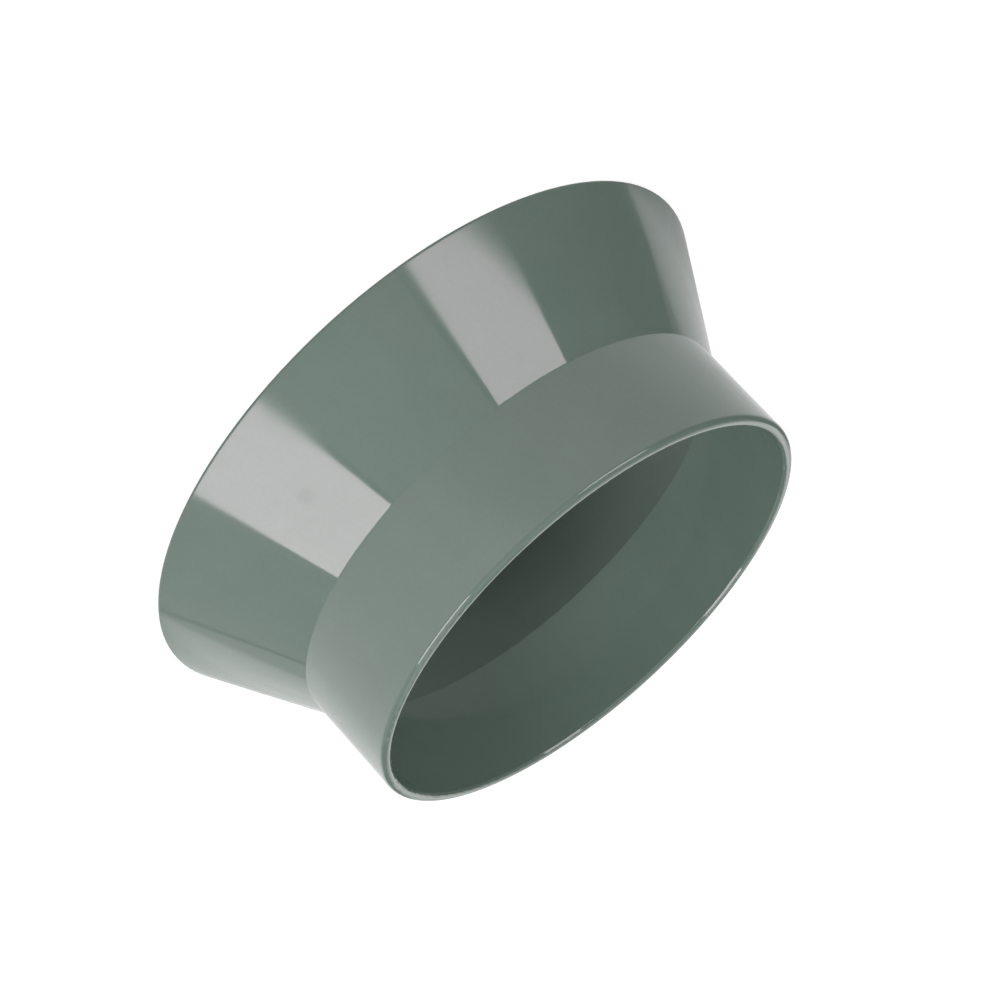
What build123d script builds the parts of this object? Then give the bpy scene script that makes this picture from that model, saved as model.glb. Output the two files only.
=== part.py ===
from build123d import *

import os
from math import cos, radians, tan

# A weather collar for a soil pipe, moulded in one piece: a short tube that fits the pipe, and below it
# a skirt that flares out to throw rain clear of the flashing's upstand.
# Sizes are in millimetres and angles in degrees. The collar stands on the rim of its skirt, at z = 0,
# with the middle of the rim at the origin and the axis of the bore on Z.

# Pipe that the tube slides over, and the gap all round it
pipe_diameter = 110.0
pipe_clearance = 0.45

# Tube, with a straight bore and an outside that widens towards the skirt
tube_height = 26.85
tube_wall_at_mouth = 2.6
tube_draft_angle = 0.6

# Lead-in that widens the bore at the mouth: how far it goes into the wall and down the bore
lead_in_width = 0.43
lead_in_depth = 0.78

# Skirt, a cone whose inside and outside run parallel, with its angle taken from the axis
skirt_height = 30.9
skirt_wall = 2.85
skirt_flare_angle = 29.4

# Roundings of the mouth and of its lead-in's foot, of the neck's creases and of the rim's edges
mouth_outer_rounding = 1.4
mouth_inner_rounding = 0.6
lead_in_rounding = 0.35
neck_outer_rounding = 0.5
neck_inner_rounding = 0.5
rim_outer_rounding = 0.5
rim_inner_rounding = 0.3

# Radii of the tube
bore_radius = pipe_diameter / 2 + pipe_clearance
mouth_outer_radius = bore_radius + tube_wall_at_mouth
neck_outer_radius = mouth_outer_radius + tube_height * tan(radians(tube_draft_angle))

# Radii of the skirt's rim, where the wall is cut level and so measures more than its thickness
skirt_slope = tan(radians(skirt_flare_angle))
rim_wall = skirt_wall / cos(radians(skirt_flare_angle))
rim_outer_radius = neck_outer_radius + skirt_height * skirt_slope
rim_inner_radius = rim_outer_radius - rim_wall

# Heights of the inner crease, where the skirt's inside meets the bore, and of the mouth
neck_inner_height = (rim_inner_radius - bore_radius) / skirt_slope
mouth_height = skirt_height + tube_height


def wall_section():
    """The wall cut along the axis, on one side of it, as a face in the XZ plane."""
    # Each corner of the section: its radius, its height and its rounding
    corners = [
        (rim_inner_radius, 0, rim_inner_rounding),
        (rim_outer_radius, 0, rim_outer_rounding),
        (neck_outer_radius, skirt_height, neck_outer_rounding),
        (mouth_outer_radius, mouth_height, mouth_outer_rounding),
        (bore_radius + lead_in_width, mouth_height, mouth_inner_rounding),
        (bore_radius, mouth_height - lead_in_depth, lead_in_rounding),
        (bore_radius, neck_inner_height, neck_inner_rounding),
    ]
    outline = FilletPolyline(
        *[(radius, height) for radius, height, rounding in corners],
        radius=[rounding for radius, height, rounding in corners],
        close=True,
    )
    return Plane.XZ * make_face(outline)


weather_collar = revolve(wall_section(), axis=Axis.Z)
weather_collar.label = "weather_collar"

os.makedirs("parts", exist_ok=True)
export_step(weather_collar, "parts/weather_collar.step")
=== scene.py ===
from math import cos, pi, radians, sin, tan

import bpy
from mathutils import Matrix, Vector


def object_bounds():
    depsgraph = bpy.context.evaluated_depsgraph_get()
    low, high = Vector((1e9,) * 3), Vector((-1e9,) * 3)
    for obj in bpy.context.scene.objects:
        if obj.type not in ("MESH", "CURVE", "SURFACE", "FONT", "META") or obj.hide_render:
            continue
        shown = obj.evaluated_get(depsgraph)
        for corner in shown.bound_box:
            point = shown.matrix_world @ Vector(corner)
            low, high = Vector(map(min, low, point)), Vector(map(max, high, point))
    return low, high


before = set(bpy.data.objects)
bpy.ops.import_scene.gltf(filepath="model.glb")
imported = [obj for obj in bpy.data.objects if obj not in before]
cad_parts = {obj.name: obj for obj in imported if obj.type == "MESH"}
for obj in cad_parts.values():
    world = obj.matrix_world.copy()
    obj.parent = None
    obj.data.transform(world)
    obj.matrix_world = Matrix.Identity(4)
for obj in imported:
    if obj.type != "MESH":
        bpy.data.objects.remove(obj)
cad_low, cad_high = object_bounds()
centre = (cad_low + cad_high) / 2
scene = bpy.context.scene

# The collar stands on the floor with its mouth up. Lengths are in metres and angles in degrees.
# An azimuth is round Z from +X and an elevation is up from the floor, both seen from the collar's centre.

# Camera, on the collar's -Y side. It looks down at the collar and is rolled, as the photograph is.
camera_elevation = 23.325
camera_roll = 137.222
camera_distance = 0.6445
camera_lens = 104.7
camera_sensor = 36.0
camera_aim = Vector((-0.00215, 0.0, 0.02051))

# Lamps, each a flat panel that faces the collar: its middle's azimuth and elevation, its roll, its half
# width and half height as angles, and its radiance, where 1 shows as white
lamp_distance = 1.5
lamps = {
    "key": (-37.56, 28.0, 2.15, 17.98, 10.0, 7.25),
    "fill": (-140.2, 30.1, 4.07, 15.38, 7.9, 5.5),
    "fill_foot": (-140.7, 21.6, 4.07, 15.38, 0.6, 2.5),
    "front": (-90.0, 33.0, 0.0, 25.0, 12.0, 0.5),
    "left": (6.2, 14.0, 0.0, 24.2, 14.0, 0.42),
    "low_left": (41.0, 3.0, 0.0, 9.5, 3.9, 0.6),
    "back": (90.0, 10.0, 0.0, 18.0, 9.0, 0.9),
    "low_right": (134.5, 3.0, 0.0, 8.5, 3.9, 0.24),
    "back_top": (90.0, 24.0, 0.0, 20.0, 4.5, 1.5),
    "back_high": (90.0, 40.0, 0.0, 25.0, 11.0, 0.9),
    "over_back": (90.0, 63.0, 0.0, 18.0, 8.0, 1.4),
    "over_front": (-90.0, 68.0, 0.0, 18.0, 10.0, 0.8),
    "top_left": (0.0, 58.0, 0.0, 25.0, 12.0, 1.1),
}
studio_strength = 0.195

# Floor, with its shade of white and how strongly it glows to the camera
floor_half_size = 1.8
floor_white = 0.8
floor_white_to_camera = 0.32
floor_glow_to_camera = 0.85

# Its glow in gloss is painted light that only reflections show: a painted lit patch on the key's side and
# painted shade close round the collar. It has two parts, each with the reach over which it grows from none to
# all: one by how far a place lies along the way towards the key's side, as a dot product, and one by its
# distance from the axis
floor_painted_key_way = Vector((1.0, -0.45, 0.0))
floor_painted_key_reach = (0.050, 0.105)
floor_painted_key_glow = 0.24
floor_painted_round_reach = (0.075, 0.120)
floor_painted_round_glow = 0.32

# Height of the neck, where the skirt meets the tube
neck_height = 0.0309

# Plastic. Scales are per metre, so 1 / scale is about the width of a cloud, a streak or a dimple. A shade,
# tint or wander says how far a value strays to each side, and a detail how many finer layers a noise has.
pvc_green = (0.142, 0.198, 0.168, 1)
pvc_ior = 1.54
pvc_gloss_level = 0.5
pvc_gloss_tint = (1.0, 0.87, 0.93, 1)
gloss_wander = 0.01
roughness_at_rim = 0.11
roughness_at_neck = 0.05
roughness_wander = 0.012
wander_detail = 3.0
cloud_scale = 48.0
cloud_detail = 4.0
cloud_shade = 0.035
cloud_tint = 0.05
streak_stretch = (240.0, 240.0, 9.0)
streak_shade = 0.012
fine_detail = 2.0
grain_scale = 1100.0
grain_shade = 0.018
peel_scale = 620.0
peel_height = 0.0000009
wave_scale = 55.0
wave_detail = 1.0
wave_height = 0.000006
noise_range = (0.3, 0.7)

# Marks on the skirt: place, reach, and what each adds to the shade, to the gloss as a share of its level, and
# to the roughness. A mark is full over its core, which is a share of its reach, and fades out over the rest.
mark_core = 0.4
marks = (
    (Vector((0.0266, -0.0598, 0.0177)), 0.0023, -0.07, -0.10, 0.02),
    (Vector((0.0340, -0.0567, 0.0166)), 0.0030, 0.03, 0.0, 0.0),
    (Vector((0.0120, -0.0715, 0.0050)), 0.0160, 0.0, 0.0, 0.05),
)


def direction(azimuth, elevation):
    """Unit vector that points out from the collar."""
    a, e = radians(azimuth), radians(elevation)
    return Vector((cos(a) * cos(e), sin(a) * cos(e), sin(e)))


def add(name, data):
    """Put new data into the scene as an object."""
    made = bpy.data.objects.new(name, data)
    scene.collection.objects.link(made)
    return made


def node(tree, kind, inputs, **settings):
    """Add a shader node. An input's value is a number, a colour or another node's output."""
    made = tree.nodes.new("ShaderNode" + kind)
    for name, value in settings.items():
        setattr(made, name, value)
    for name, value in inputs.items():
        if isinstance(value, bpy.types.NodeSocket):
            tree.links.new(value, made.inputs[name])
        else:
            made.inputs[name].default_value = value
    return made


def math(tree, operation, *values):
    """Output of a math node on up to three numbers or outputs."""
    return node(tree, "Math", dict(enumerate(values)), operation=operation).outputs[0]


def remap(tree, value, old, new, shape="LINEAR"):
    """Output that goes from new[0] to new[1] as the value goes from old[0] to old[1]."""
    ends = {"Value": value, "From Min": old[0], "From Max": old[1], "To Min": new[0], "To Max": new[1]}
    return node(tree, "MapRange", ends, interpolation_type=shape).outputs["Result"]


def make_camera():
    data = bpy.data.cameras.new("camera")
    data.lens = camera_lens
    data.sensor_width = camera_sensor
    camera = add("camera", data)
    back = direction(-90, camera_elevation)
    look = (-back).to_track_quat("-Z", "Y").to_matrix().to_4x4()
    roll = Matrix.Rotation(radians(camera_roll), 4, "Z")
    camera.matrix_world = Matrix.Translation(camera_aim + back * camera_distance) @ look @ roll
    scene.camera = camera


def make_lamp(name, azimuth, elevation, roll, half_width, half_height, radiance):
    data = bpy.data.lights.new(name, "AREA")
    data.shape = "RECTANGLE"
    data.size = 2 * lamp_distance * tan(radians(half_width))
    data.size_y = 2 * lamp_distance * tan(radians(half_height))
    data.energy = radiance * pi * data.size * data.size_y
    lamp = add(name, data)
    out = direction(azimuth, elevation)
    face = out.to_track_quat("Z", "Y").to_matrix().to_4x4()
    turn = Matrix.Rotation(radians(-roll), 4, "Z")
    lamp.matrix_world = Matrix.Translation(centre + out * lamp_distance) @ face @ turn
    lamp.visible_camera = False


def make_world():
    """A dim studio, which the camera sees as white."""
    world = bpy.data.worlds.new("studio")
    world.use_nodes = True
    tree = world.node_tree
    path = node(tree, "LightPath", {}).outputs
    seen = math(tree, "MAXIMUM", path["Is Camera Ray"], path["Is Transmission Ray"])
    background = tree.nodes["Background"].inputs
    background["Color"].default_value = (1, 1, 1, 1)
    tree.links.new(remap(tree, seen, (0, 1), (studio_strength, 1)), background["Strength"])
    scene.world = world


def floor_material():
    """White floor. It glows to the camera, so that it is the photograph's white and still takes a faint
    shadow. In gloss it glows more on the key's side and away from the collar, which is painted light and
    painted shade that only reflections show."""
    material = bpy.data.materials.new("white_floor")
    material.use_nodes = True
    tree = material.node_tree
    tree.nodes.clear()
    path = node(tree, "LightPath", {}).outputs
    place = node(tree, "NewGeometry", {}).outputs["Position"]
    away = node(tree, "VectorMath", {0: place}, operation="LENGTH").outputs["Value"]
    along = node(tree, "VectorMath", {0: place, 1: floor_painted_key_way}, operation="DOT_PRODUCT").outputs["Value"]
    # Painted light in gloss: the floor glows brighter towards the key's side
    lit = remap(tree, along, floor_painted_key_reach, (0, floor_painted_key_glow), "SMOOTHSTEP")
    # Painted shade in gloss: no glow close round the collar, growing with distance from the axis
    around = remap(tree, away, floor_painted_round_reach, (0, floor_painted_round_glow))
    glow = math(tree, "ADD", lit, around)
    in_gloss = math(tree, "MULTIPLY", glow, path["Is Glossy Ray"])
    to_camera = math(tree, "MULTIPLY", path["Is Camera Ray"], floor_glow_to_camera)
    seen = math(tree, "ADD", to_camera, path["Is Transmission Ray"])
    emission = node(tree, "Emission", {"Strength": math(tree, "ADD", seen, in_gloss)})
    white = remap(tree, path["Is Camera Ray"], (0, 1), (floor_white, floor_white_to_camera))
    diffuse = node(tree, "BsdfDiffuse", {"Color": white})
    both = node(tree, "AddShader", {0: diffuse.outputs[0], 1: emission.outputs[0]})
    node(tree, "OutputMaterial", {"Surface": both.outputs[0]})
    return material


def make_floor():
    half = floor_half_size
    mesh = bpy.data.meshes.new("floor")
    corners = [(-half, -half, 0), (half, -half, 0), (half, half, 0), (-half, half, 0)]
    mesh.from_pydata(corners, [], [(0, 1, 2, 3)])
    mesh.materials.append(floor_material())
    add("floor", mesh)


def noise(tree, place, scale, detail):
    """Output of a noise texture, from 0 to 1 and 0.5 on average."""
    return node(tree, "TexNoise", {"Vector": place, "Scale": scale, "Detail": detail}).outputs["Fac"]


def spread(tree, value, middle, half):
    """Output within half of the middle, for a noise that mostly stays in its range."""
    return remap(tree, value, noise_range, (middle - half, middle + half))


def pvc_material():
    """Grey-green gloss PVC, polished at the neck and less so towards the skirt's rim. It is faintly clouded
    and streaked along the axis, with a fine grain, a shallow orange peel and a few marks."""
    material = bpy.data.materials.new("grey_green_pvc")
    material.use_nodes = True
    tree = material.node_tree
    shader = tree.nodes["Principled BSDF"]
    shader.inputs["IOR"].default_value = pvc_ior
    shader.inputs["Specular Tint"].default_value = pvc_gloss_tint
    place = node(tree, "TexCoord", {}).outputs["Object"]
    clouds = noise(tree, place, cloud_scale, cloud_detail)
    drawn = node(tree, "VectorMath", {0: place, 1: streak_stretch}, operation="MULTIPLY").outputs["Vector"]
    streaks = noise(tree, drawn, 1.0, fine_detail)
    grain = noise(tree, place, grain_scale, fine_detail)
    # Other clouds, from another place in the same noise
    aside = node(tree, "VectorMath", {0: place, 1: cad_high}, operation="ADD").outputs["Vector"]
    other = noise(tree, aside, cloud_scale, wander_detail)

    height = node(tree, "SeparateXYZ", {0: place}).outputs["Z"]
    dull = remap(tree, height, (0, neck_height), (roughness_at_rim, roughness_at_neck))
    dull = math(tree, "ADD", dull, spread(tree, other, 0, roughness_wander))
    shade = spread(tree, clouds, 1, cloud_shade)
    for fine, stray in ((streaks, streak_shade), (grain, grain_shade)):
        shade = math(tree, "MULTIPLY", shade, spread(tree, fine, 1, stray))
    gloss = spread(tree, other, pvc_gloss_level, gloss_wander)
    for spot, reach, shade_there, gloss_there, dull_there in marks:
        away = node(tree, "VectorMath", {0: place, 1: spot}, operation="DISTANCE").outputs["Value"]
        near = remap(tree, away, (mark_core * reach, reach), (1, 0), "SMOOTHSTEP")
        shade = math(tree, "MULTIPLY_ADD", near, shade_there, shade)
        gloss = math(tree, "MULTIPLY_ADD", near, gloss_there * pvc_gloss_level, gloss)
        dull = math(tree, "MULTIPLY_ADD", near, dull_there, dull)
    tone = {"Color": pvc_green, "Value": shade, "Saturation": spread(tree, other, 1, cloud_tint)}
    tree.links.new(node(tree, "HueSaturation", tone).outputs["Color"], shader.inputs["Base Color"])
    tree.links.new(dull, shader.inputs["Roughness"])
    tree.links.new(gloss, shader.inputs["Specular IOR Level"])

    waves = noise(tree, place, wave_scale, wave_detail)
    wavy = node(tree, "Bump", {"Height": waves, "Distance": wave_height})
    peel = noise(tree, place, peel_scale, fine_detail)
    bump = node(tree, "Bump", {"Height": peel, "Distance": peel_height, "Normal": wavy.outputs["Normal"]})
    tree.links.new(bump.outputs["Normal"], shader.inputs["Normal"])
    return material


make_camera()
for name, lamp in lamps.items():
    make_lamp(name, *lamp)
make_world()
make_floor()
pvc = pvc_material()
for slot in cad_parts["weather_collar"].material_slots:
    slot.material = pvc
scene.view_settings.view_transform = "Standard"
